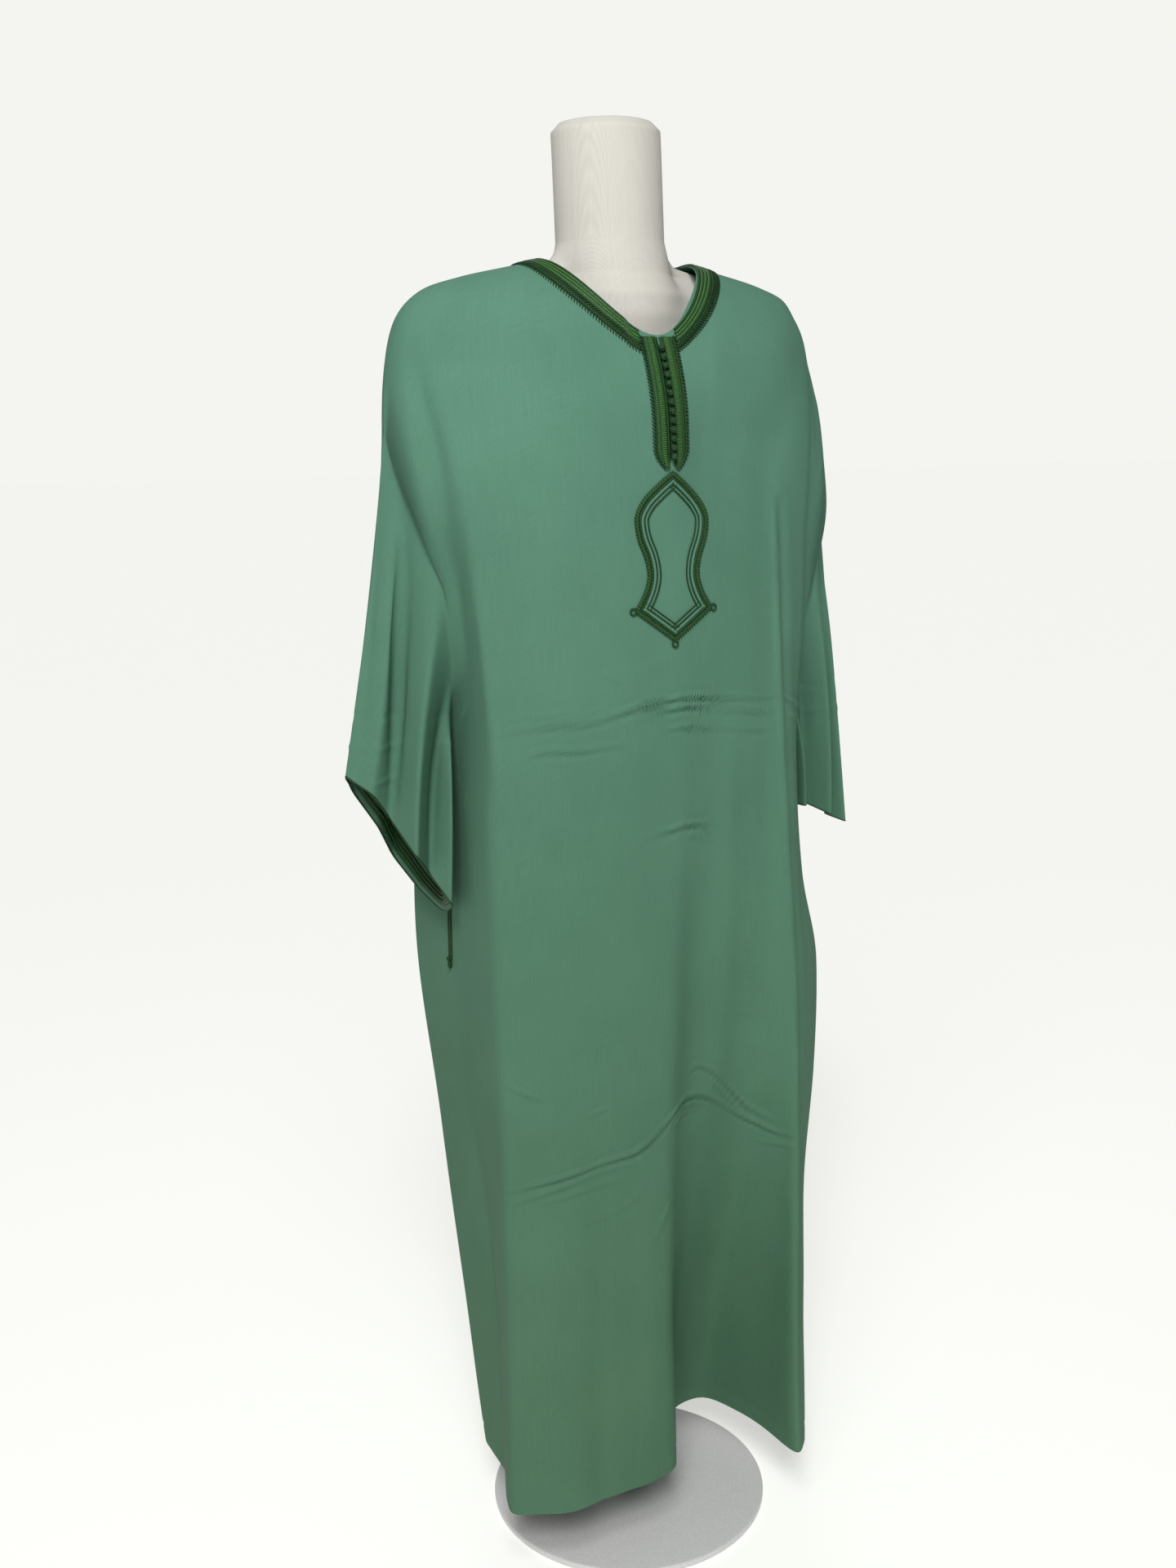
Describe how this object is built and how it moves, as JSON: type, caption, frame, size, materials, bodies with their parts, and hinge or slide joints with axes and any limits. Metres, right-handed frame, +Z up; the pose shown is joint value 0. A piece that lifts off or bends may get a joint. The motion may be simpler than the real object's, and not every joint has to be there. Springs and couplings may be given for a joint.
{
  "type": "hoodless djellaba robe on limbless dress form",
  "caption": "Long loose robe with wide short sleeves, braided neck, knotted placket and chest ornament, hanging on a limbless dress form with a round base.",
  "frame": {"origin": "centre of the round base's underside, on the floor", "axes": "+Z up; the robe faces -Y; +X is the wearer's left"},
  "size_m": [0.6296, 0.34, 1.632],
  "materials": {
    "cloth": "soft matt woven viscose and cotton, sage green",
    "braid": "corded silky braid, dark green with light green cords",
    "knot": "tight knots of silky cord, dark green",
    "form_linen": "plain pale grey linen over the form",
    "stand_steel": "satin pale grey paint"
  },
  "bodies": {
    "root": {"front_panel": "cloth", "back_panel": "cloth", "sleeve_right": "cloth", "sleeve_left": "cloth", "neck_braid": "braid", "placket_braid_right": "braid", "placket_braid_left": "braid", "ornament_braid": "braid", "ornament_piping_1": "braid", "ornament_piping_2": "braid", "slit_braid_right": "braid", "slit_braid_left": "braid", "cuff_braid_right": "braid", "cuff_braid_left": "braid", "knot_01": "knot", "knot_02": "knot", "knot_03": "knot", "knot_04": "knot", "knot_05": "knot", "knot_06": "knot", "knot_07": "knot", "knot_08": "knot", "knot_09": "knot", "knot_10": "knot", "knot_11": "knot", "knot_12": "knot", "knot_13": "knot", "form_torso": "form_linen", "form_pole": "stand_steel", "form_base": "stand_steel"}
  },
  "joints": []
}
